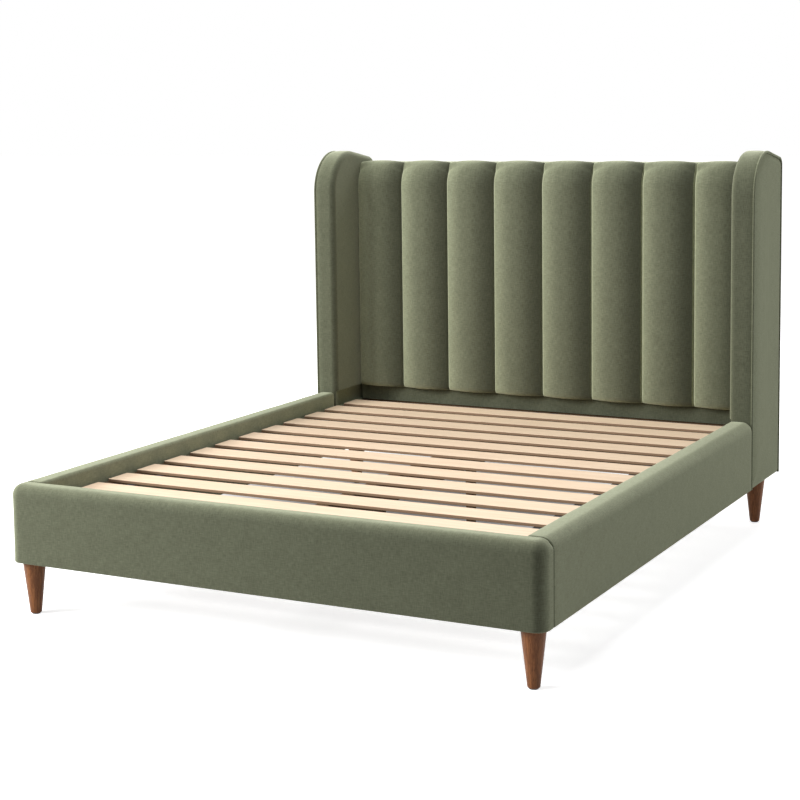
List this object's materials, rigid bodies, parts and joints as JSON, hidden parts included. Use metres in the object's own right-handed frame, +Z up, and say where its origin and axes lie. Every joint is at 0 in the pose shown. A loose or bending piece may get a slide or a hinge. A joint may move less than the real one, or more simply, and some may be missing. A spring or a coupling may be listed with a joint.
{
  "type": "wingback bed",
  "caption": "Upholstered wingback bed frame with a channelled headboard, padded rails, a slatted deck and tapered wooden legs.",
  "frame": {"origin": "on the floor below the middle of the bed's bounding box", "axes": "+Z up, +Y from the footboard to the headboard, +X to the right seen from the foot"},
  "size_m": [1.78, 2.302, 1.3728],
  "materials": {
    "upholstery": "soft matt sage green velvet weave",
    "slat_wood": "planed pale softwood, unvarnished",
    "leg_wood": "walnut stain, satin",
    "frame_timber": "sawn softwood",
    "steel_fittings": "black powder coat",
    "webbing": "woven polypropylene tape",
    "black_plastic": "moulded black plastic"
  },
  "bodies": {
    "bed": {"channel_pad_1": "upholstery", "channel_pad_2": "upholstery", "channel_pad_3": "upholstery", "channel_pad_4": "upholstery", "channel_pad_5": "upholstery", "channel_pad_6": "upholstery", "channel_pad_7": "upholstery", "channel_pad_8": "upholstery", "footboard_cover": "upholstery", "side_rail_cover_left": "upholstery", "side_rail_cover_right": "upholstery", "wing_pad_left": "upholstery", "wing_pad_right": "upholstery", "wing_side_panel_left": "upholstery", "wing_side_panel_right": "upholstery", "wing_welts": "upholstery", "headboard_top_band": "upholstery", "headboard_lower_strip": "upholstery", "slat_01": "slat_wood", "slat_02": "slat_wood", "slat_03": "slat_wood", "slat_04": "slat_wood", "slat_05": "slat_wood", "slat_06": "slat_wood", "slat_07": "slat_wood", "slat_08": "slat_wood", "slat_09": "slat_wood", "slat_10": "slat_wood", "slat_11": "slat_wood", "slat_12": "slat_wood", "slat_13": "slat_wood", "leg_front_left": "leg_wood", "leg_front_right": "leg_wood", "leg_rear_left": "leg_wood", "leg_rear_right": "leg_wood", "footboard_core": "frame_timber", "side_rail_core_left": "frame_timber", "side_rail_core_right": "frame_timber", "slat_ledge_left": "frame_timber", "slat_ledge_right": "frame_timber", "centre_beam": "frame_timber", "headboard_frame_rails": "frame_timber", "headboard_frame_stiles": "frame_timber", "headboard_front_board": "frame_timber", "wing_frame_left": "frame_timber", "wing_frame_right": "frame_timber", "corner_blocks": "frame_timber", "centre_leg_1": "frame_timber", "centre_leg_2": "frame_timber", "corner_brackets": "steel_fittings", "corner_bolts": "steel_fittings", "leg_plates": "steel_fittings", "hanger_bolts": "steel_fittings", "beam_brackets": "steel_fittings", "slat_tapes": "webbing", "headboard_back_panel": "upholstery", "leg_glides": "black_plastic"},
    "centre_foot_1": {"centre_foot_1": "black_plastic"},
    "centre_foot_2": {"centre_foot_2": "black_plastic"}
  },
  "joints": [
    {"name": "centre_foot_1_screw", "type": "slide", "parent": "bed", "child": "centre_foot_1", "axis": [0, 0, 1], "range_m": [-0.008, 0.008]},
    {"name": "centre_foot_2_screw", "type": "slide", "parent": "bed", "child": "centre_foot_2", "axis": [0, 0, 1], "range_m": [-0.008, 0.008]}
  ]
}
